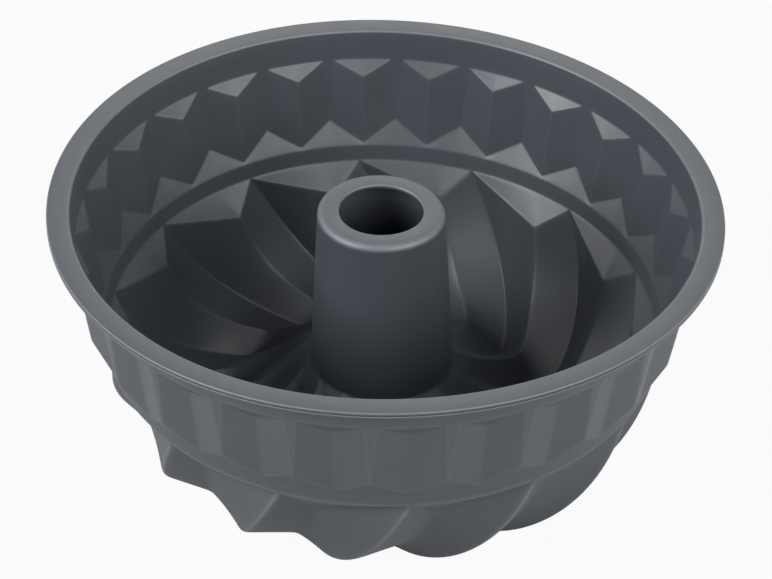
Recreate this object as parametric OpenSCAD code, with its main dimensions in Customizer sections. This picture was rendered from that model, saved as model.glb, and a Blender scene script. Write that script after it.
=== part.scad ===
// Silicone kugelhopf mould: a one-piece moulding with a fluted upper wall, a twisted lobed bowl
// and a hollow chimney, divided into closed zones that meet face to face.
// The origin is the centre of the mould on the surface that it stands on, with +Z up.

/* [Rim] */
// Outer diameter of the rim flange
rim_d = 220; // [190:1:260]
// Width of the flange from its outer edge to the mouth
flange_w = 7.5; // [4:0.5:12]
// Thickness of the flange
flange_t = 2; // [1.5:0.1:3]
// Height of the plain collar, from the rim face to its foot
collar_h = 11.4; // [8:0.2:20]
// How far the collar draws in between the rim face and its foot
collar_in = 1.2; // [0.4:0.1:3]
// Thickness of the silicone wall
wall = 1.8; // [1.4:0.1:2.2]

/* [Flutes] */
// Number of flutes round the upper wall
flute_n = 26; // [20:1:32]
// Height of the fluted band
flute_h = 32.7; // [26:0.1:45]
// Depth of a tooth's top corner below the collar
tooth_drop = 5.3; // [3:0.1:8]
// How far a tooth's top corner stands in from the collar
tooth_in = 3.8; // [2:0.1:5]
// How much further in a tooth's foot stands than its top corner
tooth_lean = 3.5; // [1:0.1:6]
// Width of the groove between two teeth, at the collar
groove_w = 3.8; // [2:0.1:8]
// How far the groove's foot stands in from the collar
groove_in = 3; // [1:0.1:4]
// Height of the groove's foot above the step ring
groove_rise = 8.6; // [6:0.1:12]
// Angle of the first tooth from the +X axis
tooth_angle = 12.3; // [0:0.1:18]

/* [Step ring] */
// Height of the plain ring under the flutes
ring_h = 6; // [3:0.5:10]
// How far the ring stands in from the feet of the teeth
ring_step = 0.7; // [0.4:0.1:1.5]
// How far the ring draws in over its height
ring_in = 1; // [0.2:0.1:2]

/* [Swirl bowl] */
// Number of twisted lobes round the bowl
lobe_n = 14; // [10:1:18]
// Radius of the circle on which the bowl is deepest
channel_r = 58; // [54:0.5:62]
// Depth of the creases at the floor, below the step ring
channel_depth = 45.5; // [38:0.1:58]
// Height of the lobes' ridges above the creases at the floor
ridge_h = 6; // [4:0.1:10]
// Depth of a lobe's top corner below the step ring
tip_drop = 9.1; // [5:0.1:14]
// How far a lobe's top corner stands in from the step ring
tip_in = 7.6; // [4:0.1:10]
// Angle of the first crease from the +X axis, at the step ring
crease_angle = 19.2; // [0:0.1:25]
// Angle through which a crease turns between the step ring and the chimney
twist = 56; // [30:1:75]
// Lag of the twist at the walls behind an even turn
twist_lag = 2; // [0:0.1:4]
// Share of a lobe's width at which its ridge starts, at the step ring
ridge_start = 0.34; // [0.28:0.01:0.5]
// Share of a lobe's width to which its ridge drifts
ridge_end = 0.62; // [0.5:0.01:0.7]
// Depth of the lobes' inner ends, on the chimney, below the step ring
inner_drop = 15.3; // [8:0.1:22]
// How full the bowl is on the chimney's side, from a straight cone (1) to an ellipse (2)
inner_fullness = 1.12; // [1.05:0.01:1.6]

/* [Chimney] */
// Diameter of the chimney at its top
chimney_d = 42; // [34:0.5:46]
// Draft of the chimney's side, in degrees
chimney_draft = 3.2; // [1:0.1:4]
// Depth of the chimney's top below the rim face
chimney_drop = 4; // [0:0.5:12]
// Radius of the round edge at the chimney's top
chimney_round = 2.6; // [2.3:0.1:5]
// Diameter of the hole through the chimney's top
hole_d = 27.6; // [12:0.2:28]

/* [Hidden] */
silicone = [0.20, 0.23, 0.27];
$fn = 180;

// Heights of the seams, from the ground up
ring_foot_z = wall + channel_depth;
ring_top_z = ring_foot_z + ring_h;
collar_foot_z = ring_top_z + flute_h;
rim_z = collar_foot_z + collar_h;
chimney_top_z = rim_z - chimney_drop;
chimney_foot_z = ring_foot_z - inner_drop;

// Inner radii at the seams
mouth_r = rim_d / 2 - flange_w;
collar_foot_r = mouth_r - collar_in;
tooth_top_r = collar_foot_r - tooth_in;
tooth_foot_r = tooth_top_r - tooth_lean;
ring_top_r = tooth_foot_r - ring_step;
ring_foot_r = ring_top_r - ring_in;

// Pitches of the two patterns, in degrees
flute_pitch = 360 / flute_n;
lobe_pitch = 360 / lobe_n;

// Half of the groove's width at the collar, in degrees, and its share of a flute
groove_half = asin(groove_w / 2 / collar_foot_r);
groove_share = groove_half / flute_pitch;
groove_foot_r = collar_foot_r - groove_in;

// The chimney's channel side: its radius at the round edge, at the lobes' inner ends and between
chimney_r = chimney_d / 2;
shoulder_z = chimney_top_z - chimney_round;
chimney_foot_r = chimney_r + (shoulder_z - chimney_foot_z) * tan(chimney_draft);

// Curves that the creases and the ridges follow, from the ring (0) over the floor (90) to the
// chimney (180): a quarter of an ellipse on the outer side and a slacker curve on the inner one
crease_out = ring_foot_r - channel_r;
crease_inner = channel_r - chimney_foot_r;
ridge_depth = channel_depth - ridge_h;
tip_turn = asin(tip_drop / ridge_depth);
ridge_out = (crease_out - tip_in) / cos(tip_turn);

// Turn within which most of a ridge's drift takes place, in degrees
drift_turn = 48;

// Steps in the faceted grids
slope_steps = 4;
sweep_steps = 18;

function polar(r, angle, z) = [r * cos(angle), r * sin(angle), z];
function mix(a, b, t) = a + (b - a) * t;
function flat(rows) = [for (row = rows) each row];

// Faces of a grid of points, each cell as two triangles
function grid_faces(rows, cols, first, turned) = [
    for (i = [0 : rows - 2], j = [0 : cols - 2])
        let (a = first + i * cols + j, b = a + 1, c = b + cols, d = a + cols)
            each turned ? [[a, b, c], [a, c, d]] : [[c, b, a], [d, c, a]]
];

// Faces of a strip that joins two equally long lists of points
function strip_faces(one, two, turned) = [
    for (j = [0 : len(one) - 2])
        let (a = one[j], b = one[j + 1], c = two[j + 1], d = two[j])
            each turned ? [[a, b, c], [a, c, d]] : [[c, b, a], [d, c, a]]
];

function distinct(points, face) =
    points[face[0]] != points[face[1]]
    && points[face[1]] != points[face[2]]
    && points[face[2]] != points[face[0]];

// A wall between an inner and an outer grid. Rows run down and columns run anticlockwise from above.
// An open wall is closed by its two ends, and a closed one by its last column, which is its first.
module shell(inner, outer, closed) {
    rows = len(inner);
    cols = len(inner[0]);
    out = rows * cols;
    top = [for (j = [0 : cols - 1]) j];
    foot = [for (j = top) j + (rows - 1) * cols];
    start = [for (i = [0 : rows - 1]) i * cols];
    end = [for (i = start) i + cols - 1];
    points = concat(flat(inner), flat(outer));
    faces = concat(
        grid_faces(rows, cols, 0, false),
        grid_faces(rows, cols, out, true),
        strip_faces(top, [for (j = top) j + out], true),
        strip_faces(foot, [for (j = foot) j + out], false),
        closed ? [] : strip_faces(start, [for (i = start) i + out], false),
        closed ? [] : strip_faces(end, [for (i = end) i + out], true)
    );
    polyhedron(points = points, faces = [for (f = faces) if (distinct(points, f)) f]);
}

// A conical wall of revolution whose two ends are level
module cone_wall(foot_r, foot_z, top_r, top_z) {
    rotate_extrude()
        polygon([
            [foot_r, foot_z],
            [foot_r + wall, foot_z],
            [top_r + wall, top_z],
            [top_r, top_z]
        ]);
}

// One flute's columns run from groove to groove: the angles, as shares of the pitch, at its corners
function flute_shares() = concat(
    [0],
    [for (j = [0 : slope_steps]) mix(groove_share, 0.5, j / slope_steps)],
    [for (j = [1 : slope_steps]) mix(0.5, 1 - groove_share, j / slope_steps)]
);

// Inner radius and height on the edge between a groove's side and a tooth, at a share of the pitch
function tooth_reach(share) =
    max(0, min(share, 1 - share) - groove_share) / (0.5 - groove_share);

// A straight edge from the groove's corner to the tooth's corner, seen from above
function edge_point(share, angle, groove_a, r0, z0, r1, z1) =
    let (
        t = tooth_reach(share),
        side = share < 0.5 ? -1 : 1,
        tooth_a = angle + 0.5 * flute_pitch,
        from = polar(r0, tooth_a + side * (0.5 * flute_pitch - groove_a), z0),
        to = polar(r1, tooth_a, z1)
    )
    t == 0 ? polar(r0, angle + share * flute_pitch, z0) : mix(from, to, t);

// Row 0 is the collar's foot, row 1 the teeth's upper edges, row 2 their lower edges, row 3 the ring
function flute_row(row, share, angle) =
    row == 0 ? polar(collar_foot_r, angle + share * flute_pitch, collar_foot_z)
    : row == 1 ? edge_point(
        share, angle, groove_half,
        collar_foot_r, collar_foot_z,
        tooth_top_r, collar_foot_z - tooth_drop)
    : row == 2 ? (
        tooth_reach(share) == 0
            ? polar(groove_foot_r, angle + (share < 0.5 ? 0 : 1) * flute_pitch, ring_top_z + groove_rise)
            : edge_point(
                share, angle, 0,
                groove_foot_r, ring_top_z + groove_rise,
                tooth_foot_r, ring_top_z + ring_step))
    : polar(ring_top_r, angle + share * flute_pitch, ring_top_z);

function moved_out(p, distance) =
    let (r = norm([p.x, p.y]))
    [p.x * (r + distance) / r, p.y * (r + distance) / r, p.z];

module fluted_band() {
    cells = [for (i = [0 : flute_n - 1], s = flute_shares()) [tooth_angle + (i - 0.5) * flute_pitch, s]];
    columns = concat(cells, [cells[0]]);
    inner = [for (row = [0 : 3]) [for (c = columns) flute_row(row, c[1], c[0])]];
    outer = [for (row = inner) [for (p = row) moved_out(p, wall)]];
    color(silicone)
        shell(inner, outer, true);
}

// Angle of a crease at a turn along its ellipse, in degrees
function crease_a(k, turn) = crease_angle + k * lobe_pitch - twist * turn / 180 + twist_lag * sin(2 * turn);

// Share of a lobe's width at which its ridge lies. It drifts across the lobe as the lobe turns.
function ridge_share(turn) = mix(ridge_end, ridge_start, exp(-pow(turn / drift_turn, 2)));

// Depth at a turn along the curve, as a share of the full depth
function depth_share(turn) =
    turn < 90 ? sin(turn) : pow(1 - pow(-cos(turn), inner_fullness), 1 / inner_fullness);

// A point at a turn along a curve of the bowl, with the wall's thickness added or not
function bowl_point(half_out, depth, turn, angle, thickness) =
    let (
        half = turn < 90 ? half_out : crease_inner,
        end = turn < 90 ? 0 : inner_drop,
        r = channel_r + (half + thickness) * cos(turn),
        z = ring_foot_z - end - (depth - end) * depth_share(turn) - thickness * sin(turn)
    )
    polar(r, angle, z);

function crease_point(k, turn, thickness) =
    bowl_point(crease_out, channel_depth, turn, crease_a(k, turn), thickness);

function ridge_point(k, turn, thickness) =
    bowl_point(ridge_out, ridge_depth, turn, crease_a(k, turn) + ridge_share(turn) * lobe_pitch, thickness);

// One row of a lobe, from its crease over its ridge to the next crease, as straight facets
function facet_row(k, t, thickness) =
    let (
        first = crease_point(k, 180 * t, thickness),
        ridge = ridge_point(k, mix(tip_turn, 180, t), thickness),
        last = crease_point(k + 1, 180 * t, thickness)
    )
    concat(
        [for (j = [0 : slope_steps - 1]) mix(first, ridge, j / slope_steps)],
        [for (j = [0 : slope_steps]) mix(ridge, last, j / slope_steps)]
    );

// A row of a lobe that lies on a level circle, where the lobe meets a round neighbour
function level_row(k, turn, r, z) =
    let (a = crease_a(k, turn), share = ridge_share(turn))
    concat(
        [for (j = [0 : slope_steps - 1]) polar(r, a + j / slope_steps * share * lobe_pitch, z)],
        [for (j = [0 : slope_steps]) polar(r, a + mix(share, 1, j / slope_steps) * lobe_pitch, z)]
    );

function lobe_grid(k, thickness) = concat(
    [level_row(k, 0, ring_foot_r + thickness, ring_foot_z)],
    [for (i = [0 : sweep_steps - 1]) facet_row(k, i / sweep_steps, thickness)],
    [level_row(k, 180, chimney_foot_r - thickness, chimney_foot_z)]
);

function lobe_name(k) = str("swirl_lobe_", k < 10 ? "0" : "", k);

module swirl_lobe(k) {
    color(silicone)
        shell(lobe_grid(k, 0), lobe_grid(k, wall), false);
}

module rim_flange() {
    inner_foot_r = mouth_r - collar_in * flange_t / collar_h;
    color(silicone)
        rotate_extrude()
            polygon([
                [inner_foot_r, rim_z - flange_t],
                [rim_d / 2, rim_z - flange_t],
                [rim_d / 2, rim_z],
                [mouth_r, rim_z]
            ]);
}

module rim_collar() {
    color(silicone)
        cone_wall(
            collar_foot_r, collar_foot_z,
            mouth_r - collar_in * flange_t / collar_h, rim_z - flange_t
        );
}

module step_ring() {
    color(silicone)
        cone_wall(ring_foot_r, ring_foot_z, ring_top_r, ring_top_z);
}

module chimney_wall() {
    color(silicone)
        rotate_extrude()
            polygon([
                [chimney_foot_r - wall, chimney_foot_z],
                [chimney_foot_r, chimney_foot_z],
                [chimney_r, shoulder_z],
                [chimney_r - wall, shoulder_z]
            ]);
}

// A flat plate with a round outer edge that turns down to meet the chimney's wall
module chimney_top() {
    edge_r = chimney_r - chimney_round;
    color(silicone)
        rotate_extrude() {
            translate([hole_d / 2, chimney_top_z - wall])
                square([edge_r - hole_d / 2, wall]);
            translate([edge_r, shoulder_z])
                intersection() {
                    difference() {
                        circle(r = chimney_round);
                        circle(r = chimney_round - wall);
                    }
                    square(chimney_round);
                }
        }
}

rim_flange();
rim_collar();
fluted_band();
step_ring();
for (k = [1 : lobe_n])
    swirl_lobe(k);
chimney_wall();
chimney_top();
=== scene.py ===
"""Looks of a silicone kugelhopf mould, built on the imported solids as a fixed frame."""

import logging
import math
from dataclasses import dataclass, field
from enum import Enum, IntEnum

import bpy
import numpy as np
from mathutils import Matrix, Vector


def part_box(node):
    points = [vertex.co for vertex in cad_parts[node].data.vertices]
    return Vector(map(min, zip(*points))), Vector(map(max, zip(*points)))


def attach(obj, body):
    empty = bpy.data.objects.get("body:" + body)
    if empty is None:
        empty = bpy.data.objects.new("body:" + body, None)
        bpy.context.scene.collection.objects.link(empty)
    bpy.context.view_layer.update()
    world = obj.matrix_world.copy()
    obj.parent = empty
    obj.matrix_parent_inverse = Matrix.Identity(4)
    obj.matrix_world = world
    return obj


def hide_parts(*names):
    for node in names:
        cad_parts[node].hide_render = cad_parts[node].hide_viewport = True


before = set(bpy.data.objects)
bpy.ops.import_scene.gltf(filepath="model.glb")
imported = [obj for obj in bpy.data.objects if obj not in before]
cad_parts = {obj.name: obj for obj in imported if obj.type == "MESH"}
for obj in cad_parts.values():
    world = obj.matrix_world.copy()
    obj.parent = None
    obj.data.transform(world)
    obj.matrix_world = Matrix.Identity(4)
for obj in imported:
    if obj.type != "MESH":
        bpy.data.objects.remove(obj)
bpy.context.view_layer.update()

log = logging.getLogger("kugelhopf_mould")

Numbers = np.ndarray | float
Colour = tuple[float, float, float]
Socket = bpy.types.NodeSocket

# The grid of points on one face of the moulding, and the vectors by which rounding moved them.
Skin = tuple[np.ndarray, np.ndarray]

MM = 0.001
WALL = 1.8 * MM

# The least value of a length or weight that something is divided by.
TINY = 1e-12

# Width of the photograph in pixels, and of the camera's sensor in millimetres.
IMAGE_WIDTH = 772
SENSOR_WIDTH = 36.0

# The mesh attribute that tells the finish how much a point lies on a raised edge, where it paints a
# highlight.
EDGE = "painted_edge_highlight"


class Side(Enum):
    """The two faces of the silicone skin."""

    INNER = 0
    OUTER = 1


class Shade(Enum):
    """The finishes that the scene uses."""

    SILICONE = "silicone"
    FLOOR = "floor"


class MixSocket(IntEnum):
    """Where a Mix node keeps its share, its two colours and the colour that comes out."""

    SHARE = 0
    LOW = 6
    HIGH = 7
    RESULT = 2


@dataclass(frozen=True)
class SkinSizes:
    """Sizes that all pieces of the moulding share, in metres, most of them read from the frame.

    The step ring and the collar are cones that narrow downwards by ring_in and collar_in. The
    flange's width is flange_w and its thickness flange_t.
    """

    wall: float = WALL
    rim_r: float = field(default_factory=lambda: float(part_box("rim_flange")[1][0]))
    rim_z: float = field(default_factory=lambda: float(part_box("rim_flange")[1][2]))
    collar_foot_z: float = field(default_factory=lambda: float(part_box("rim_collar")[0][2]))
    ring_top_z: float = field(default_factory=lambda: float(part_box("step_ring")[1][2]))
    ring_foot_z: float = field(default_factory=lambda: float(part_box("step_ring")[0][2]))
    ring_top_r: float = field(default_factory=lambda: float(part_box("step_ring")[1][0]) - WALL)
    chimney_foot_r: float = field(default_factory=lambda: float(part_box("chimney_wall")[1][0]))
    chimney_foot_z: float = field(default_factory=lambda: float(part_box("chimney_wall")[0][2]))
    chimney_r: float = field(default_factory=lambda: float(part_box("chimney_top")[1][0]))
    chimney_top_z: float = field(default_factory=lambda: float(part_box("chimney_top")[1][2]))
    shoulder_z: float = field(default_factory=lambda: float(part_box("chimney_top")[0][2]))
    ring_in: float = 1.0 * MM
    flange_w: float = 7.5 * MM
    flange_t: float = 2.0 * MM
    collar_in: float = 1.2 * MM

    @property
    def ring_foot_r(self) -> float:
        """Inner radius of the step ring at its foot."""
        return self.ring_top_r - self.ring_in

    @property
    def mouth_r(self) -> float:
        """Inner radius of the mouth at the rim face."""
        return self.rim_r - self.flange_w

    @property
    def collar_foot_r(self) -> float:
        """Inner radius of the collar at its foot."""
        return self.mouth_r - self.collar_in

    def collar_r(self, z: float) -> float:
        """Inner radius of the collar's cone at a height."""
        heights, radii = [self.collar_foot_z, self.rim_z], [self.collar_foot_r, self.mouth_r]
        return float(np.interp(z, heights, radii))

    def ring_r(self, z: float) -> float:
        """Inner radius of the step ring's cone at a height."""
        heights, radii = [self.ring_foot_z, self.ring_top_z], [self.ring_foot_r, self.ring_top_r]
        return float(np.interp(z, heights, radii))

    def chimney_side_r(self, z: float) -> float:
        """Outer radius of the chimney's cone at a height."""
        heights, radii = [self.chimney_foot_z, self.shoulder_z], [self.chimney_foot_r, self.chimney_r]
        return float(np.interp(z, heights, radii))


def polar(r: Numbers, angle: Numbers, z: Numbers) -> np.ndarray:
    """Points from radii, angles in degrees and heights.

    Args:
        r: Radii, in metres.
        angle: Angles from +X, anticlockwise from above, in degrees.
        z: Heights, in metres.

    Returns:
        An array of points with the inputs' broadcast shape and a last axis of three.
    """
    turn = np.radians(angle)
    r, turn, z = np.broadcast_arrays(r, turn, z)
    return np.stack([r * np.cos(turn), r * np.sin(turn), z], axis=-1)


def turned(points: np.ndarray, angle: float) -> np.ndarray:
    """Points turned about the mould's axis by an angle in degrees."""
    cosine, sine = math.cos(math.radians(angle)), math.sin(math.radians(angle))
    return points @ np.array([[cosine, sine, 0.0], [-sine, cosine, 0.0], [0.0, 0.0, 1.0]])


def mix(a: Numbers, b: Numbers, t: Numbers) -> Numbers:
    """The value at share t of the way from a to b."""
    return a + (b - a) * t


def end_dense(count: int) -> np.ndarray:
    """Shares from 0 to 1 that lie closer together near both ends.

    Args:
        count: Number of steps.

    Returns:
        An array of count + 1 shares.
    """
    return (1 - np.cos(np.pi * np.arange(count + 1) / count)) / 2


def spans(rows: list[np.ndarray], counts: tuple[int, ...]) -> np.ndarray:
    """A grid that fills the spans between key rows with straight lines.

    Args:
        rows: Key rows, each an array of points.
        counts: Number of steps in each span.

    Returns:
        A grid of points, row by row.
    """
    parts = [rows[0][None]]
    for upper, lower, count in zip(rows, rows[1:], counts):
        shares = end_dense(count)[1:, None, None]
        parts.append(mix(upper[None], lower[None], shares))
    return np.concatenate(parts)


def prolonged(grid: np.ndarray, count: int, step: float) -> np.ndarray:
    """A grid with straight spare rows added before its first row and after its last.

    Args:
        grid: Points, row by row.
        count: Number of rows to add at each end.
        step: Distance between the added rows, in metres.

    Returns:
        The longer grid.
    """
    ends = []
    for edge, inside in ((grid[0], grid[1]), (grid[-1], grid[-2])):
        away = edge - inside
        away = away / np.maximum(np.linalg.norm(away, axis=-1, keepdims=True), TINY)
        ends.append([edge + away * step * i for i in range(1, count + 1)])
    return np.concatenate([np.array(ends[0][::-1]), grid, np.array(ends[1])])


def blurred(grid: np.ndarray, radius: float, spare: int = 8, reach: float = 4.0) -> np.ndarray:
    """A grid whose sharp edges across its columns are rounded, as a Gaussian blur by real distance.

    Args:
        grid: Points, row by row. The blur runs down the columns.
        radius: Standard deviation of the blur, in metres.
        spare: Number of straight rows that each end gains for the blur and then loses again.
        reach: Distance past which points no longer count, as a multiple of the radius.

    Returns:
        The rounded grid.
    """
    longer = prolonged(grid, spare, radius / 2)
    steps = np.linalg.norm(np.diff(longer, axis=0), axis=-1)
    place = np.concatenate([np.zeros((1, longer.shape[1])), np.cumsum(steps, axis=0)])
    weight = np.gradient(place, axis=0)
    total = np.zeros_like(place)
    result = np.zeros_like(longer)
    rows = longer.shape[0]
    # Each shift adds, to every row, the row that lies so many rows further on.
    for shift in range(1 - rows, rows):
        here = slice(max(0, -shift), rows - max(0, shift))
        there = slice(max(0, shift), rows + min(0, shift))
        gap = (place[there] - place[here]) / radius
        if np.abs(gap).min() > reach:
            continue
        share = np.exp(-0.5 * gap ** 2) * weight[there]
        total[here] += share
        result[here] += share[..., None] * longer[there]
    return (result / np.maximum(total, TINY)[..., None])[spare:-spare]


@dataclass
class Wedge:
    """One repeat of a patterned skin: a grid that a turn by the pitch carries to its neighbour.

    The pitch is in degrees. The spare is the number of columns that are borrowed from each
    neighbour, so that the rounding runs on past the wedge's sides.
    """

    points: np.ndarray
    pitch: float
    spare: int = 12

    def softened(self, radius: float) -> Skin:
        """The grid with rounded edges.

        Args:
            radius: Standard deviation of the rounding, in metres.

        Returns:
            The rounded grid, and the vectors by which the rounding moved its points.
        """
        grid = blurred(self.points, radius)
        before = turned(grid[:, -self.spare - 1:-1], -self.pitch)
        after = turned(grid[:, 1:self.spare + 1], self.pitch)
        wide = np.concatenate([before, grid, after], axis=1)
        wide = blurred(wide.transpose(1, 0, 2), radius).transpose(1, 0, 2)
        soft = wide[:, self.spare:-self.spare]
        soft[:, -1] = turned(soft[:, 0], self.pitch)
        soft[[0, -1]] = self.points[[0, -1]]
        return soft, soft - self.points


def worked_out(tree: bpy.types.NodeTree, operation: str, *values: Socket | float) -> Socket:
    """The result of a Math node.

    Args:
        tree: Node tree to build in.
        operation: The node's operation.
        values: Its inputs in order, each a socket or a plain number.

    Returns:
        The socket of the result.
    """
    node = tree.nodes.new("ShaderNodeMath")
    node.operation = operation
    for socket, value in zip(node.inputs, values):
        if isinstance(value, Socket):
            tree.links.new(value, socket)
        else:
            socket.default_value = value
    return node.outputs[0]


class PatternRing:
    """A Geometry Nodes tree that repeats a wedge round the axis and joins the copies."""

    NAME = "Repeat round the axis"
    JOIN_DISTANCE = 0.01 * MM
    SHARP_ANGLE = math.radians(50)

    def __init__(self) -> None:
        """Build the tree once."""
        self.tree = bpy.data.node_groups.new(self.NAME, "GeometryNodeTree")
        self.inputs: dict[str, bpy.types.NodeTreeInterfaceSocket] = {}
        self._sockets()
        self._nodes()

    def _sockets(self) -> None:
        face = self.tree.interface
        kinds = (("Wedge", "NodeSocketGeometry"), ("Copies", "NodeSocketInt"),
                 ("Join Distance", "NodeSocketFloat"), ("Sharp Angle", "NodeSocketFloat"),
                 ("Finish", "NodeSocketMaterial"))
        for name, kind in kinds:
            self.inputs[name] = face.new_socket(name=name, in_out="INPUT", socket_type=kind)
        face.new_socket(name="Ring", in_out="OUTPUT", socket_type="NodeSocketGeometry")

    def _nodes(self) -> None:
        """Lay out the nodes and link them."""
        nodes, link = self.tree.nodes, self.tree.links.new
        source = nodes.new("NodeGroupInput")
        target = nodes.new("NodeGroupOutput")
        points = nodes.new("GeometryNodePoints")
        link(source.outputs["Copies"], points.inputs["Count"])
        copies = nodes.new("GeometryNodeInstanceOnPoints")
        link(points.outputs[0], copies.inputs["Points"])
        link(source.outputs["Wedge"], copies.inputs["Instance"])
        link(self._turns(source.outputs["Copies"]), copies.inputs["Rotation"])
        real = nodes.new("GeometryNodeRealizeInstances")
        link(copies.outputs[0], real.inputs[0])
        joined = nodes.new("GeometryNodeMergeByDistance")
        link(real.outputs[0], joined.inputs["Geometry"])
        link(source.outputs["Join Distance"], joined.inputs["Distance"])
        dressed = nodes.new("GeometryNodeSetMaterial")
        link(self._shaded(joined.outputs[0], source.outputs["Sharp Angle"]), dressed.inputs["Geometry"])
        link(source.outputs["Finish"], dressed.inputs["Material"])
        link(dressed.outputs[0], target.inputs[0])

    def _turns(self, copies: Socket) -> Socket:
        """Nodes that turn each copy to its place.

        Args:
            copies: The number of copies.

        Returns:
            The socket of each copy's rotation about the axis.
        """
        nodes, link = self.tree.nodes, self.tree.links.new
        pitch = worked_out(self.tree, "DIVIDE", math.tau, copies)
        index = nodes.new("GeometryNodeInputIndex")
        axis = nodes.new("ShaderNodeCombineXYZ")
        link(worked_out(self.tree, "MULTIPLY", index.outputs[0], pitch), axis.inputs["Z"])
        turn = nodes.new("FunctionNodeEulerToRotation")
        link(axis.outputs[0], turn.inputs[0])
        return turn.outputs[0]

    def _shaded(self, ring: Socket, sharp_angle: Socket) -> Socket:
        """Nodes that smooth the faces and keep sharp bends hard.

        Args:
            ring: The joined copies.
            sharp_angle: The least bend that stays hard.

        Returns:
            The socket of the shaded ring.
        """
        nodes, link = self.tree.nodes, self.tree.links.new
        smooth = nodes.new("GeometryNodeSetShadeSmooth")
        link(ring, smooth.inputs["Geometry"])
        bend = nodes.new("GeometryNodeInputMeshEdgeAngle")
        sharp = nodes.new("FunctionNodeCompare")
        sharp.operation = "GREATER_THAN"
        link(bend.outputs["Unsigned Angle"], sharp.inputs[0])
        link(sharp_angle, sharp.inputs[1])
        crisp = nodes.new("GeometryNodeSetShadeSmooth")
        crisp.domain = "EDGE"
        crisp.inputs["Shade Smooth"].default_value = False
        link(smooth.outputs[0], crisp.inputs["Geometry"])
        link(sharp.outputs[0], crisp.inputs["Selection"])
        return crisp.outputs[0]

    def make(self, name: str, wedge: bpy.types.Mesh, copies: int,
             finish: bpy.types.Material) -> bpy.types.Object:
        """Repeat a wedge and return the result as a plain mesh object.

        Args:
            name: Name of the finished piece.
            wedge: Mesh of one repeat.
            copies: Number of repeats round the axis.
            finish: Material of the piece.

        Returns:
            The finished object, with no modifier on it.
        """
        piece = bpy.data.objects.new(name, wedge)
        bpy.context.scene.collection.objects.link(piece)
        modifier = piece.modifiers.new(self.NAME, "NODES")
        modifier.node_group = self.tree
        values = {"Copies": copies, "Join Distance": self.JOIN_DISTANCE,
                  "Sharp Angle": self.SHARP_ANGLE, "Finish": finish}
        for key, value in values.items():
            modifier[self.inputs[key].identifier] = value
        graph = bpy.context.evaluated_depsgraph_get()
        mesh = bpy.data.meshes.new_from_object(piece.evaluated_get(graph), depsgraph=graph)
        piece.modifiers.clear()
        piece.data = mesh
        mesh.name = name
        bpy.data.meshes.remove(wedge)
        return piece


def grid_normals(grid: np.ndarray) -> np.ndarray:
    """Unit normals of a grid's points, on the side that the mould's cake touches."""
    normal = np.cross(np.gradient(grid, axis=1), np.gradient(grid, axis=0))
    return normal / np.maximum(np.linalg.norm(normal, axis=-1, keepdims=True), TINY)


def mark_highlight_edges(mesh: bpy.types.Mesh, values: np.ndarray) -> None:
    """Store how much each point lies on a raised edge, from 0 to 1, which the finish paints as a highlight.
    """
    layer = mesh.attributes.new(EDGE, "FLOAT", "POINT")
    layer.data.foreach_set("value", np.clip(values, 0, 1).astype(np.float32))


def wedge_mesh(name: str, inner: Skin, outer: Skin, edge_cut: float = 0.45 * MM) -> bpy.types.Mesh:
    """A mesh of one wedge: both faces of the moulding and the hidden ends that join them.

    Args:
        name: Name of the mesh.
        inner: The face that the cake touches, with rows from the rim to the chimney.
        outer: The other face, with as many rows and columns.
        edge_cut: Depth of rounding that counts as a full edge, with the whole painted highlight, in metres.

    Returns:
        The mesh, open along its two sides, where its copies join.
    """
    # A raised edge, which the finish paints with a highlight, is where rounding moved a face into the
    # silicone.
    cuts = []
    for (grid, moved), hand in ((inner, -1), (outer, 1)):
        cuts.append((grid_normals(grid) * moved).sum(axis=-1).ravel() * hand / edge_cut)
    rows, cols, _ = inner[0].shape
    index = np.arange(rows * cols).reshape(rows, cols)
    under = index + rows * cols
    faces: list[tuple[int, ...]] = []
    for near, turn in ((index, False), (under, True)):
        a, b, c, d = near[:-1, :-1], near[:-1, 1:], near[1:, 1:], near[1:, :-1]
        ring = (a, b, c, d) if turn else (d, c, b, a)
        faces += list(zip(*(corner.ravel().tolist() for corner in ring)))
    for row, turn in ((0, True), (rows - 1, False)):
        a, b, c, d = index[row, :-1], index[row, 1:], under[row, 1:], under[row, :-1]
        ring = (d, c, b, a) if turn else (a, b, c, d)
        faces += list(zip(*(corner.ravel().tolist() for corner in ring)))
    mesh = bpy.data.meshes.new(name)
    points = np.concatenate([inner[0].reshape(-1, 3), outer[0].reshape(-1, 3)])
    mesh.from_pydata(points.tolist(), [], faces)
    mesh.update()
    mark_highlight_edges(mesh, np.concatenate(cuts))
    return mesh


def revolved_mesh(name: str, outline: np.ndarray, segments: int) -> bpy.types.Mesh:
    """A mesh of one thin slice of a turned piece.

    Args:
        name: Name of the mesh.
        outline: Closed outline as radius, height and share of the painted edge highlight, anticlockwise.
        segments: Number of slices in the whole turn.

    Returns:
        The slice, open along its two sides.
    """
    pitch = 360 / segments
    first = polar(outline[:, 0], np.zeros(len(outline)), outline[:, 1])
    second = turned(first, pitch)
    count = len(outline)
    faces = [(i, count + i, count + (i + 1) % count, (i + 1) % count) for i in range(count)]
    mesh = bpy.data.meshes.new(name)
    mesh.from_pydata(np.concatenate([first, second]).tolist(), [], faces)
    mesh.update()
    mark_highlight_edges(mesh, np.tile(outline[:, 2], 2))
    return mesh


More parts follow.
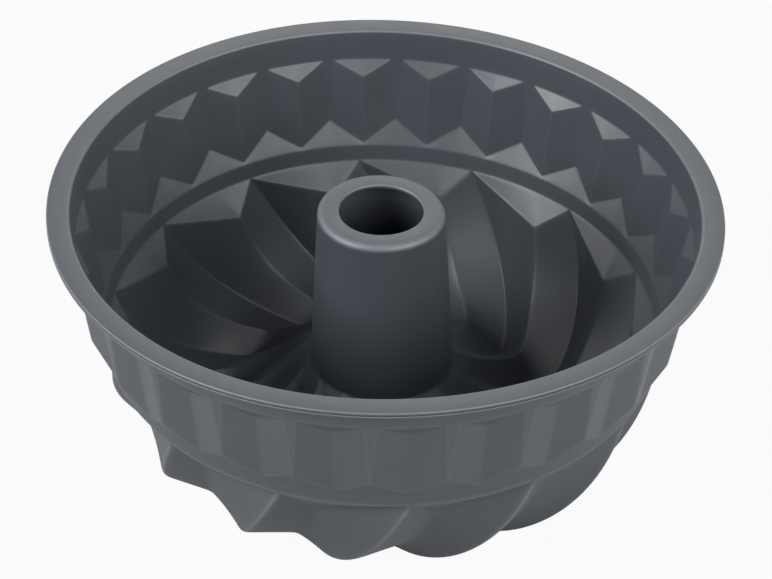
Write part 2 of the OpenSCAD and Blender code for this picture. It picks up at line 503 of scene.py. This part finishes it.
def round_corner(before: tuple[float, float], corner: tuple[float, float], after: tuple[float, float],
                 radius: float, steps: int = 6) -> list[np.ndarray]:
    """Points of an arc that rounds one corner of an outline.

    Args:
        before: The outline's point before the corner.
        corner: The corner itself.
        after: The outline's point after the corner.
        radius: Radius of the arc. Zero keeps the corner sharp.
        steps: Number of steps along the arc.

    Returns:
        The arc's points in order, each with its share of an edge, which is 1 at the middle of a
        raised corner and which the finish paints as a highlight.
    """
    if radius <= 0:
        return [np.array([*corner, 0.0])]
    tip = np.array(corner, dtype=float)
    back = np.array(before, dtype=float) - tip
    forth = np.array(after, dtype=float) - tip
    back /= np.linalg.norm(back)
    forth /= np.linalg.norm(forth)
    half = math.acos(float(np.clip(back @ forth, -1, 1))) / 2
    start = tip + back * radius / math.tan(half)
    end = tip + forth * radius / math.tan(half)
    bisector = (back + forth) / np.linalg.norm(back + forth)
    middle = tip + bisector * radius / math.sin(half)
    first = math.atan2(*(start - middle)[::-1])
    last = math.atan2(*(end - middle)[::-1])
    sweep = (last - first + math.pi) % math.tau - math.pi
    way = np.linspace(0, 1, steps + 1)
    raised = np.sin(np.pi * way) if sweep > 0 else np.zeros_like(way)
    return [np.array([*(middle + radius * np.array([math.cos(angle), math.sin(angle)])), edge])
            for angle, edge in zip(first + sweep * way, raised)]


def rounded_outline(corners: list[tuple[float, float, float]]) -> np.ndarray:
    """A closed outline with round corners.

    Args:
        corners: Each corner's radius from the axis, height and rounding radius.

    Returns:
        The outline's points, each with its share of the painted edge highlight.
    """
    points: list[np.ndarray] = []
    count = len(corners)
    for i, (r, z, soft) in enumerate(corners):
        points += round_corner(corners[i - 1][:2], (r, z), corners[(i + 1) % count][:2], soft)
    return np.array(points)


@dataclass(frozen=True)
class SoftStance:
    """How the flexible mould stands: its mouth is not quite level or round, and its chimney leans.

    The tilt, saddle and ripple lift the rim in waves that run once, twice and three times round it.
    Each is a share of the sine and one of the cosine of the angle from the back. The oval widens the
    mouth one way and narrows it across. All of this fades towards the axis, and is gone at the fade
    depth below the rim. The lean moves the chimney sideways, most at its top. It is whole inside
    the first of the lean radii and gone at the second.
    """

    rim_r: float
    rim_z: float
    chimney_foot_z: float
    fade_depth: float = 66.0 * MM
    tilt: tuple[float, float] = (0.61 * MM, -1.08 * MM)
    saddle: tuple[float, float] = (-0.94 * MM, 0.79 * MM)
    ripple: tuple[float, float] = (0.25 * MM, -0.33 * MM)
    oval: tuple[float, float] = (0.78 * MM, -0.52 * MM)
    lean: float = -1.5 * MM
    lean_r: tuple[float, float] = (24.0 * MM, 44.0 * MM)

    def lift(self, turn: np.ndarray) -> np.ndarray:
        """Height that the rim gains at angles from the back, clockwise from above, in radians."""
        waves = enumerate((self.tilt, self.saddle, self.ripple), start=1)
        return sum(a * np.sin(n * turn) + b * np.cos(n * turn) for n, (a, b) in waves)

    def moved(self, points: np.ndarray) -> np.ndarray:
        """Points of the straight mould, moved to where they stand.

        Args:
            points: Points in metres, one a row.

        Returns:
            The moved points.
        """
        x, y, z = points.T
        r = np.hypot(x, y)
        turn = np.arctan2(x, y)
        share = np.clip(1 + (z - self.rim_z) / self.fade_depth, 0, None) * r / self.rim_r
        wide, long = self.oval
        rise = np.clip((z - self.chimney_foot_z) / (self.rim_z - self.chimney_foot_z), 0, 1)
        near = np.clip((self.lean_r[1] - r) / (self.lean_r[1] - self.lean_r[0]), 0, 1)
        return np.stack([
            x + share * (wide * np.sin(turn) + long * np.cos(turn)) + self.lean * rise * near,
            y + share * (long * np.sin(turn) - wide * np.cos(turn)),
            z + share * self.lift(turn)], axis=-1)


@dataclass
class Part:
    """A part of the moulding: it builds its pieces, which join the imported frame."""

    sizes: SkinSizes
    maker: PatternRing
    finish: bpy.types.Material
    stance: SoftStance

    def build(self) -> None:
        """Make the part's pieces, which every kind of part does in its own way."""
        raise NotImplementedError

    def settle(self, piece: bpy.types.Object, *nodes: str) -> None:
        """Bend a finished piece as the mould stands, and let it stand for its solids on the body.

        Args:
            piece: The finished object.
            nodes: Names of the solids that it stands for.
        """
        mesh = piece.data
        flat = np.empty(len(mesh.vertices) * 3)
        mesh.vertices.foreach_get("co", flat)
        mesh.vertices.foreach_set("co", self.stance.moved(flat.reshape(-1, 3)).ravel())
        mesh.update()
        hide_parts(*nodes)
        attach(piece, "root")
        log.info("%s: %d faces", piece.name, len(piece.data.polygons))


@dataclass
class TurnedPart(Part):
    """A part that is the same all round the axis, made from thin slices."""

    segments: int = 364

    def revolve(self, name: str, corners: list[tuple[float, float, float]]) -> None:
        """Make one turned piece, which stands for the solid of the same name.

        Args:
            name: Name of the solid.
            corners: Its outline, as each corner's radius from the axis, height and rounding radius.
        """
        mesh = revolved_mesh(name, rounded_outline(corners), self.segments)
        self.settle(self.maker.make(f"{name}_skin", mesh, self.segments, self.finish), name)


@dataclass
class PatternedPart(Part):
    """A part whose skin repeats one wedge round the axis, with its edges rounded on both faces."""

    count: int
    first_angle: float
    soft_inner: float
    soft_outer: float

    @property
    def pitch(self) -> float:
        """Angle between neighbouring repeats, in degrees."""
        return 360 / self.count

    def offset(self, side: Side) -> float:
        """How far a face lies behind the one that the cake touches."""
        return self.sizes.wall if side is Side.OUTER else 0.0

    def softened(self, grid: np.ndarray, side: Side) -> Skin:
        """One repeat's grid with the rounding that its side of the skin has."""
        radius = self.soft_inner if side is Side.INNER else self.soft_outer
        return Wedge(grid, self.pitch).softened(radius)


@dataclass
class Rim(TurnedPart):
    """The flange round the mouth, with a parting groove in its edge, and the plain collar below it.

    A drop is a depth below the rim face, and a soft size is the radius that rounds a corner.
    """

    edge_soft: float = 0.5 * MM
    lip_edge_soft: float = 0.25 * MM
    parting_drop: float = 1.0 * MM
    parting_h: float = 0.35 * MM
    parting_in: float = 0.5 * MM
    parting_soft: float = 0.12 * MM
    lip_soft: float = 1.1 * MM
    root_soft: float = 1.4 * MM
    seam_drop: float = 4.5 * MM
    band_spare: float = 3.0 * MM

    def build(self) -> None:
        """Make both pieces."""
        sizes = self.sizes
        seam_z = sizes.rim_z - self.seam_drop
        seam_r = sizes.collar_r(seam_z)
        foot_z = sizes.collar_foot_z + self.band_spare
        foot_r = sizes.collar_r(foot_z)
        under_z = sizes.rim_z - sizes.flange_t
        parting_z = sizes.rim_z - self.parting_drop
        self.revolve("rim_flange", [
            (seam_r, seam_z, 0),
            (seam_r + sizes.wall, seam_z, 0),
            (sizes.collar_r(under_z) + sizes.wall, under_z, self.root_soft),
            (sizes.rim_r, under_z, self.lip_edge_soft),
            (sizes.rim_r, parting_z - self.parting_h, self.lip_edge_soft),
            (sizes.rim_r - self.parting_in, parting_z - self.parting_h, self.parting_soft),
            (sizes.rim_r - self.parting_in, parting_z, self.parting_soft),
            (sizes.rim_r, parting_z, self.parting_soft),
            (sizes.rim_r, sizes.rim_z, self.edge_soft),
            (sizes.mouth_r, sizes.rim_z, self.lip_soft)])
        self.revolve("rim_collar", [
            (foot_r, foot_z, 0),
            (foot_r + sizes.wall, foot_z, 0),
            (seam_r + sizes.wall, seam_z, 0),
            (seam_r, seam_z, 0)])


@dataclass
class FlutedBand(PatternedPart):
    """The upper wall with its pointed flutes.

    Each repeat is a tooth with half a groove on either side of it. A triangle slopes from the collar
    down to the tooth's top, and a ledge from the groove's foot down to the step ring.
    """

    count: int = 26
    first_angle: float = 12.3
    tooth_drop: float = 5.3 * MM
    tooth_in: float = 3.8 * MM
    tooth_lean: float = 3.5 * MM
    groove_w: float = 3.8 * MM
    groove_in: float = 3.0 * MM
    groove_rise: float = 8.6 * MM
    ring_step: float = 0.7 * MM
    spare_above: float = 3.0 * MM
    spare_below: float = 2.0 * MM
    soft_inner: float = 0.4 * MM
    soft_outer: float = 0.7 * MM
    groove_steps: int = 3
    side_steps: int = 14
    span_steps: tuple[int, ...] = (6, 10, 14, 10, 5)

    @property
    def groove_half(self) -> float:
        """Half the groove's width at the collar's foot, as a share of the pitch."""
        return math.degrees(math.asin(self.groove_w / 2 / self.sizes.collar_foot_r)) / self.pitch

    def across(self) -> tuple[np.ndarray, np.ndarray]:
        """How the points of a row are spread over one flute.

        Returns:
            Each point's share of the pitch, and its reach from the groove, which is 0, to the
            tooth's edge, which is 1, as a column.
        """
        half = self.groove_half
        groove = half * np.linspace(0, 1, self.groove_steps + 1)
        rise = mix(half, 0.5, end_dense(self.side_steps))
        share = np.concatenate([groove[:-1], rise, 1 - rise[::-1][1:], 1 - groove[::-1][1:]])
        reach = np.clip((np.minimum(share, 1 - share) - half) / (0.5 - half), 0, 1)
        return share, reach[:, None]

    def key_rows(self, side: Side) -> list[np.ndarray]:
        """The rows of corners between which the flutes' faces are straight.

        Args:
            side: Which face of the skin.

        Returns:
            Six rows of points over one flute, from the collar to the step ring.
        """
        sizes = self.sizes
        wall = self.offset(side)
        share, reach = self.across()
        start = self.first_angle - self.pitch / 2
        angle = start + share * self.pitch
        tooth = start + self.pitch / 2
        hand = np.where(share < 0.5, -1, 1)
        groove_side = tooth + hand * self.pitch * (0.5 - self.groove_half)
        groove_middle = tooth + hand * self.pitch / 2
        above_z = sizes.collar_foot_z + self.spare_above
        below_z = sizes.ring_top_z - self.spare_below
        tooth_r = sizes.collar_foot_r - self.tooth_in
        collar_top = polar(sizes.collar_r(above_z) + wall, angle, above_z)
        collar = polar(sizes.collar_foot_r + wall, angle, sizes.collar_foot_z)
        corner = polar(sizes.collar_foot_r + wall, groove_side, sizes.collar_foot_z)
        tooth_top = polar(tooth_r + wall, tooth, sizes.collar_foot_z - self.tooth_drop)
        upper = np.where(reach > 0, mix(corner, tooth_top, reach), collar)
        groove_foot = polar(sizes.collar_foot_r - self.groove_in + wall, groove_middle,
                            sizes.ring_top_z + self.groove_rise)
        tooth_foot = polar(tooth_r - self.tooth_lean + wall, tooth, sizes.ring_top_z + self.ring_step)
        lower = mix(groove_foot, tooth_foot, reach)
        ring = polar(sizes.ring_top_r + wall, angle, sizes.ring_top_z)
        ring_foot = polar(sizes.ring_r(below_z) + wall, angle, below_z)
        return [collar_top, collar, upper, lower, ring, ring_foot]

    def skin(self, side: Side) -> Skin:
        """One face of one flute."""
        return self.softened(spans(self.key_rows(side), self.span_steps), side)

    def build(self) -> None:
        """Make the band."""
        mesh = wedge_mesh("fluted_band", self.skin(Side.INNER), self.skin(Side.OUTER))
        self.settle(self.maker.make("fluted_band_skin", mesh, self.count, self.finish), "fluted_band")


@dataclass
class StepRing(TurnedPart):
    """The narrow plain ring between the flutes and the swirl."""

    spare: float = 2.0 * MM

    def build(self) -> None:
        """Make the ring."""
        sizes = self.sizes
        top_z = sizes.ring_top_z - self.spare
        foot_z = sizes.ring_foot_z + self.spare
        self.revolve("step_ring", [
            (sizes.ring_r(foot_z), foot_z, 0),
            (sizes.ring_r(foot_z) + sizes.wall, foot_z, 0),
            (sizes.ring_r(top_z) + sizes.wall, top_z, 0),
            (sizes.ring_r(top_z), top_z, 0)])


@dataclass
class SwirlBowl(PatternedPart):
    """The channel's lower half: twisted lobes from the step ring across the floor to the chimney.

    Each repeat is one lobe, with two facets that meet at its ridge and a crease on either side. A
    turn along its curve is 0 degrees at the step ring, 90 at the floor and 180 at the chimney. The
    ridge's place across the lobe drifts from its start share to its end share.
    """

    count: int = 14
    first_angle: float = 19.2
    channel_r: float = 58.0 * MM
    ridge_h: float = 6.0 * MM
    tip_drop: float = 9.1 * MM
    tip_in: float = 7.6 * MM
    twist: float = 56.0
    twist_lag: float = 2.0
    ridge_start: float = 0.34
    ridge_end: float = 0.62
    drift_turn: float = 48.0
    inner_fullness: float = 1.12
    spare_ring: float = 2.0 * MM
    spare_chimney: float = 4.0 * MM
    soft_inner: float = 0.55 * MM
    soft_outer: float = 1.4 * MM
    facet_steps: int = 15
    sweep_steps: int = 64
    sweep_bias: float = 1.15
    head_steps: tuple[int, ...] = (5, 10)
    tail_steps: tuple[int, ...] = (6,)

    @property
    def depth(self) -> float:
        """Depth of the creases' lowest points below the step ring's foot."""
        return self.sizes.ring_foot_z - self.sizes.wall

    def crease_angle(self, turn: Numbers) -> Numbers:
        """Angle of the first crease at a turn along its curve, both in degrees."""
        return self.first_angle - self.twist * turn / 180 + self.twist_lag * np.sin(np.radians(2 * turn))

    def ridge_share(self, turn: Numbers) -> Numbers:
        """Share of the lobe's width at which the ridge lies."""
        return mix(self.ridge_end, self.ridge_start, np.exp(-(turn / self.drift_turn) ** 2))

    def row_angles(self, turn: float) -> np.ndarray:
        """Angles of the points in a round row, spread as on the lobe's facets.

        Args:
            turn: Turn along the lobe's curve, in degrees.

        Returns:
            The angles from crease to crease, in degrees.
        """
        across = end_dense(self.facet_steps)
        ridge = self.ridge_share(turn)
        share = np.concatenate([mix(0.0, ridge, across[:-1]), mix(ridge, 1.0, across)])
        return self.crease_angle(turn) + share * self.pitch

    def depth_share(self, turn: np.ndarray) -> np.ndarray:
        """How deep a curve lies along its way.

        Args:
            turn: Turns along the curve, in degrees.

        Returns:
            The depths, as shares of the full depth.
        """
        swing = np.radians(turn)
        fullness = self.inner_fullness
        slack = np.clip(1 - np.abs(np.cos(swing)) ** fullness, 0, 1) ** (1 / fullness)
        return np.where(turn < 90, np.sin(swing), slack)

    def sweep_point(self, reach: float, depth: float, turn: np.ndarray, angle: np.ndarray,
                    wall: float) -> np.ndarray:
        """Points on a curve from the ring over the floor to the chimney.

        Args:
            reach: Distance from the deepest circle to the curve's start at the ring.
            depth: Depth of the curve.
            turn: Turns along it, in degrees.
            angle: Angles round the axis, in degrees.
            wall: Thickness that is added outwards.

        Returns:
            The points.
        """
        sizes = self.sizes
        half = np.where(turn < 90, reach, self.channel_r - sizes.chimney_foot_r)
        end = np.where(turn < 90, 0.0, sizes.ring_foot_z - sizes.chimney_foot_z)
        swing = np.radians(turn)
        height = sizes.ring_foot_z - end - (depth - end) * self.depth_share(turn) - wall * np.sin(swing)
        return polar(self.channel_r + (half + wall) * np.cos(swing), angle, height)

    def facets(self, wall: float) -> np.ndarray:
        """Rows of points over a lobe's two facets, from crease to ridge to crease.

        Args:
            wall: Thickness that is added outwards.

        Returns:
            The rows, from the step ring to the chimney.
        """
        crease_out = self.sizes.ring_foot_r - self.channel_r
        ridge_depth = self.depth - self.ridge_h
        tip_turn = math.degrees(math.asin(self.tip_drop / ridge_depth))
        ridge_out = (crease_out - self.tip_in) / math.cos(math.radians(tip_turn))
        way = np.linspace(0, 1, self.sweep_steps + 1) ** self.sweep_bias
        turn = 180 * way
        crest = mix(tip_turn, 180.0, way)
        crease = self.sweep_point(crease_out, self.depth, turn, self.crease_angle(turn), wall)
        ridge_angle = self.crease_angle(crest) + self.ridge_share(crest) * self.pitch
        ridge = self.sweep_point(ridge_out, ridge_depth, crest, ridge_angle, wall)
        across = end_dense(self.facet_steps)[None, :, None]
        rise = mix(crease[:, None], ridge[:, None], across)
        fall = mix(ridge[:, None], turned(crease, self.pitch)[:, None], across)
        return np.concatenate([rise[:, :-1], fall], axis=1)

    def skin(self, side: Side) -> Skin:
        """One face of one lobe, from crease to crease.

        Args:
            side: Which face.

        Returns:
            The face's skin, with rows from the step ring to the chimney's wall.
        """
        sizes = self.sizes
        wall = self.offset(side)
        facets = self.facets(wall)
        ring_z = sizes.ring_foot_z + self.spare_ring
        ring_angles = self.row_angles(0.0)
        ring_top = polar(sizes.ring_r(ring_z) + wall, ring_angles, ring_z)
        ring_foot = polar(sizes.ring_foot_r + wall, ring_angles, sizes.ring_foot_z)
        tube_z = sizes.chimney_foot_z + self.spare_chimney
        tube_angles = self.row_angles(180.0)
        tube_foot = polar(sizes.chimney_foot_r - wall, tube_angles, sizes.chimney_foot_z)
        tube_top = polar(sizes.chimney_side_r(tube_z) - wall, tube_angles, tube_z)
        head = spans([ring_top, ring_foot, facets[0]], self.head_steps)
        tail = spans([tube_foot, tube_top], self.tail_steps)
        return self.softened(np.concatenate([head, facets[1:-1], tail]), side)

    def build(self) -> None:
        """Make the bowl, which stands for all the lobes."""
        mesh = wedge_mesh("swirl_bowl", self.skin(Side.INNER), self.skin(Side.OUTER))
        lobes = [f"swirl_lobe_{k:02d}" for k in range(1, self.count + 1)]
        self.settle(self.maker.make("swirl_bowl_skin", mesh, self.count, self.finish), *lobes)


@dataclass
class Chimney(TurnedPart):
    """The tapered tube in the middle and its flat top with the round hole."""

    segments: int = 280
    hole_r: float = 13.8 * MM
    edge_soft: float = 2.6 * MM
    lip_soft: float = 0.8 * MM
    spare_foot: float = 4.0 * MM
    seam_drop: float = 5.0 * MM

    def build(self) -> None:
        """Make both pieces."""
        sizes = self.sizes
        foot_z = sizes.chimney_foot_z + self.spare_foot
        foot_r = sizes.chimney_side_r(foot_z)
        seam_z = sizes.chimney_top_z - self.seam_drop
        seam_r = sizes.chimney_side_r(seam_z)
        under_z = sizes.chimney_top_z - sizes.wall
        self.revolve("chimney_wall", [
            (foot_r - sizes.wall, foot_z, 0),
            (foot_r, foot_z, 0),
            (seam_r, seam_z, 0),
            (seam_r - sizes.wall, seam_z, 0)])
        self.revolve("chimney_top", [
            (seam_r - sizes.wall, seam_z, 0),
            (seam_r, seam_z, 0),
            (sizes.chimney_r, sizes.chimney_top_z, self.edge_soft),
            (self.hole_r, sizes.chimney_top_z, self.lip_soft),
            (self.hole_r, under_z, self.lip_soft),
            (sizes.chimney_r - sizes.wall, under_z, self.edge_soft - sizes.wall)])


@dataclass(frozen=True)
class SiliconeFinish:
    """Dark slate silicone with a satin face, a fine moulded grain and raised edges painted paler as a
    highlight.
    """

    base: Colour = (0.050, 0.058, 0.069)
    pale: Colour = (0.064, 0.073, 0.086)
    # The edge colour, at its share, is a painted highlight on raised edges.
    edge: Colour = (0.170, 0.185, 0.205)
    highlight_share: float = 0.8
    gloss: float = 0.6
    roughness: float = 0.40
    dull: float = 0.50
    grain_size: float = 0.45 * MM
    grain_detail: float = 2
    grain_depth: float = 0.02 * MM
    grain_strength: float = 0.35
    cloud_size: float = 35.0 * MM
    cloud_detail: float = 3
    smear_size: float = 9.0 * MM
    smear_detail: float = 4

    def noise(self, tree: bpy.types.NodeTree, size: float, detail: float) -> Socket:
        """A noise pattern fixed to the piece.

        Args:
            tree: Node tree to build in.
            size: Size of the pattern, in metres.
            detail: Number of finer layers.

        Returns:
            The socket of its values.
        """
        place = tree.nodes.new("ShaderNodeTexCoord")
        pattern = tree.nodes.new("ShaderNodeTexNoise")
        pattern.inputs["Scale"].default_value = 1 / size
        pattern.inputs["Detail"].default_value = detail
        tree.links.new(place.outputs["Object"], pattern.inputs["Vector"])
        return pattern.outputs[0]

    def blend(self, tree: bpy.types.NodeTree, share: Socket, low: Socket | Colour, high: Colour) -> Socket:
        """A mix of two colours by a share.

        Args:
            tree: Node tree to build in.
            share: Socket of the share.
            low: Colour at share 0, as a value or a socket.
            high: Colour at share 1.

        Returns:
            The socket of the mixed colour.
        """
        tone = tree.nodes.new("ShaderNodeMix")
        tone.data_type = "RGBA"
        if isinstance(low, tuple):
            tone.inputs[MixSocket.LOW].default_value = (*low, 1)
        else:
            tree.links.new(low, tone.inputs[MixSocket.LOW])
        tone.inputs[MixSocket.HIGH].default_value = (*high, 1)
        tree.links.new(share, tone.inputs[MixSocket.SHARE])
        return tone.outputs[MixSocket.RESULT]

    def material(self) -> bpy.types.Material:
        """Build the node material.

        Returns:
            The finished material.
        """
        made = bpy.data.materials.new(Shade.SILICONE.value)
        made.use_nodes = True
        tree = made.node_tree
        nodes, link = tree.nodes, tree.links.new
        shader = nodes["Principled BSDF"]
        shader.inputs["Specular IOR Level"].default_value = self.gloss
        clouds = self.noise(tree, self.cloud_size, self.cloud_detail)
        # Raised edges are painted paler with the edge colour: a painted highlight where rounded edges catch
        # the light.
        raised = nodes.new("ShaderNodeAttribute")
        raised.attribute_name = EDGE
        painted_highlight = worked_out(tree, "MULTIPLY", raised.outputs["Fac"], self.highlight_share)
        body = self.blend(tree, clouds, self.base, self.pale)
        link(self.blend(tree, painted_highlight, body, self.edge), shader.inputs["Base Color"])
        sheen = nodes.new("ShaderNodeMapRange")
        sheen.inputs["To Min"].default_value = self.roughness
        sheen.inputs["To Max"].default_value = self.dull
        link(self.noise(tree, self.smear_size, self.smear_detail), sheen.inputs["Value"])
        link(sheen.outputs[0], shader.inputs["Roughness"])
        bump = nodes.new("ShaderNodeBump")
        bump.inputs["Strength"].default_value = self.grain_strength
        bump.inputs["Distance"].default_value = self.grain_depth
        link(self.noise(tree, self.grain_size, self.grain_detail), bump.inputs["Height"])
        link(bump.outputs[0], shader.inputs["Normal"])
        return made


def backdrop_rays(tree: bpy.types.NodeTree, shade: Socket | float = 1.0) -> Socket:
    """Nodes that tell the rays which show the white backdrop: seen, mirrored or through glass.

    Args:
        tree: Node tree of the floor or the world.
        shade: How much of the white the mirrored rays see.

    Returns:
        A socket that is 1 for seen rays, the shade for mirrored ones and 0 for light on the object.
    """
    path = tree.nodes.new("ShaderNodeLightPath").outputs
    mirrored = worked_out(tree, "MAXIMUM", path["Is Glossy Ray"], path["Is Transmission Ray"])
    dimmed = worked_out(tree, "MULTIPLY", mirrored, shade)
    return worked_out(tree, "MAXIMUM", path["Is Camera Ray"], dimmed)


@dataclass(frozen=True)
class FloorFinish:
    """A pale floor that the camera sees as white and that keeps the shadow.

    Mirrored rays see its white only from the first of the shaded radii outwards, and whole from the
    second, because the mould's own shade lies on the floor below it.
    """

    pale: float = 0.35
    roughness: float = 0.9
    gloss: float = 0.1
    glow: float = 0.95
    shaded_r: tuple[float, float] = (60.0 * MM, 190.0 * MM)

    def material(self) -> bpy.types.Material:
        """Build the node material.

        Returns:
            The finished material.
        """
        made = bpy.data.materials.new(Shade.FLOOR.value)
        made.use_nodes = True
        tree = made.node_tree
        nodes, link = tree.nodes, tree.links.new
        shader = nodes["Principled BSDF"]
        shader.inputs["Base Color"].default_value = (self.pale, self.pale, self.pale, 1)
        shader.inputs["Roughness"].default_value = self.roughness
        shader.inputs["Specular IOR Level"].default_value = self.gloss
        glow = nodes.new("ShaderNodeEmission")
        glow.inputs["Color"].default_value = (1, 1, 1, 1)
        place = nodes.new("ShaderNodeTexCoord")
        away = nodes.new("ShaderNodeVectorMath")
        away.operation = "LENGTH"
        link(place.outputs["Object"], away.inputs[0])
        shade = nodes.new("ShaderNodeMapRange")
        shade.inputs["From Min"].default_value, shade.inputs["From Max"].default_value = self.shaded_r
        link(away.outputs["Value"], shade.inputs["Value"])
        blend = nodes.new("ShaderNodeMixShader")
        seen = worked_out(tree, "MULTIPLY", backdrop_rays(tree, shade.outputs[0]), self.glow)
        link(seen, blend.inputs[0])
        link(shader.outputs[0], blend.inputs[1])
        link(glow.outputs[0], blend.inputs[2])
        link(blend.outputs[0], nodes["Material Output"].inputs["Surface"])
        return made


@dataclass(frozen=True)
class SoftLamp:
    """A square soft lamp that faces the mould.

    Its turn is the angle round the axis from +X and its rise the angle above the floor, both in
    degrees. Its power is in watts, and its distance and size are in metres.
    """

    name: str
    turn: float
    rise: float
    power: float
    distance: float = 1.7
    size: float = 0.7


@dataclass
class Studio:
    """The floor, the lamps, the white room and the camera.

    The camera looks at the middle of the mouth from an elevation, in degrees, and a distance. It is
    then moved sideways and down in its own picture's directions and turned by the roll, in degrees.
    Its focal length and its picture's shift are in the photograph's pixels.
    """

    sizes: SkinSizes
    elevation: float = 38.42
    distance: float = 900.6 * MM
    focal_pixels: float = 2752.6
    roll: float = 1.576
    sideways: float = 1.25 * MM
    drop: float = 29.36 * MM
    shift_pixels: float = 3.667
    nearest: float = 10.0 * MM
    floor_half: float = 4000.0 * MM
    lamps: tuple[SoftLamp, ...] = (
        SoftLamp("key_softbox", -150, 32, 22.0),
        SoftLamp("fill_softbox", -30, 32, 10.0),
        SoftLamp("front_softbox", -62, 32, 10.0),
        SoftLamp("back_softbox", 90, 34, 3.8),
        SoftLamp("left_softbox", 180, 26, 5.5),
        SoftLamp("right_softbox", -5, 8, 6.0))

    def floor(self) -> None:
        """Lay the floor."""
        half = self.floor_half
        corners = [(-half, -half, 0), (half, -half, 0), (half, half, 0), (-half, half, 0)]
        mesh = bpy.data.meshes.new("studio_floor")
        mesh.from_pydata(corners, [], [(0, 1, 2, 3)])
        mesh.materials.append(FloorFinish().material())
        floor = bpy.data.objects.new("studio_floor", mesh)
        bpy.context.scene.collection.objects.link(floor)

    def hang(self, lamp: SoftLamp) -> None:
        """Hang one soft lamp.

        Args:
            lamp: Where it hangs and how strong it is.
        """
        light = bpy.data.lights.new(lamp.name, "AREA")
        light.size = lamp.size
        light.energy = lamp.power
        hung = bpy.data.objects.new(lamp.name, light)
        bpy.context.scene.collection.objects.link(hung)
        turn, rise = math.radians(lamp.turn), math.radians(lamp.rise)
        hung.location = lamp.distance * np.array([
            math.cos(rise) * math.cos(turn), math.cos(rise) * math.sin(turn), math.sin(rise)])
        hung.rotation_euler = (math.pi / 2 - rise, 0, turn + math.pi / 2)

    def surroundings(self) -> None:
        """Show seen and mirrored rays a white room, which sheds no other light on the mould."""
        world = bpy.data.worlds.new("room")
        bpy.context.scene.world = world
        world.use_nodes = True
        back = world.node_tree.nodes["Background"]
        back.inputs["Color"].default_value = (1, 1, 1, 1)
        world.node_tree.links.new(backdrop_rays(world.node_tree), back.inputs["Strength"])

    def camera(self) -> None:
        """Place the camera where the photograph was taken from."""
        data = bpy.data.cameras.new("camera")
        data.sensor_width = SENSOR_WIDTH
        data.lens = self.focal_pixels * SENSOR_WIDTH / IMAGE_WIDTH
        data.shift_x = -self.shift_pixels / IMAGE_WIDTH
        data.clip_start = self.nearest
        camera = bpy.data.objects.new("camera", data)
        bpy.context.scene.collection.objects.link(camera)
        tilt = math.radians(self.elevation)
        roll = math.radians(self.roll)
        # The camera's own directions: to its right, up, and away from what it looks at.
        right = np.array([math.cos(roll), math.sin(roll) * math.sin(tilt), math.sin(roll) * math.cos(tilt)])
        up = np.array([-math.sin(roll), math.cos(roll) * math.sin(tilt), math.cos(roll) * math.cos(tilt)])
        away = np.array([0.0, -math.cos(tilt), math.sin(tilt)])
        target = np.array([0.0, 0.0, self.sizes.rim_z])
        place = target + away * self.distance + right * self.sideways - up * self.drop
        columns = np.stack([right, up, away, place], axis=1)
        camera.matrix_world = Matrix([*columns.tolist(), [0, 0, 0, 1]])
        bpy.context.scene.camera = camera

    def build(self) -> None:
        """Set up everything round the mould."""
        bpy.context.scene.view_settings.view_transform = "Standard"
        self.floor()
        self.surroundings()
        for lamp in self.lamps:
            self.hang(lamp)
        self.camera()


def main() -> None:
    """Build the mould and its studio."""
    logging.basicConfig(level=logging.INFO, format="%(message)s")
    sizes = SkinSizes()
    maker = PatternRing()
    silicone = SiliconeFinish().material()
    stance = SoftStance(sizes.rim_r, sizes.rim_z, sizes.chimney_foot_z)
    for part in (Rim, FlutedBand, StepRing, SwirlBowl, Chimney):
        part(sizes, maker, silicone, stance).build()
    Studio(sizes).build()


if __name__ == "__main__":
    main()
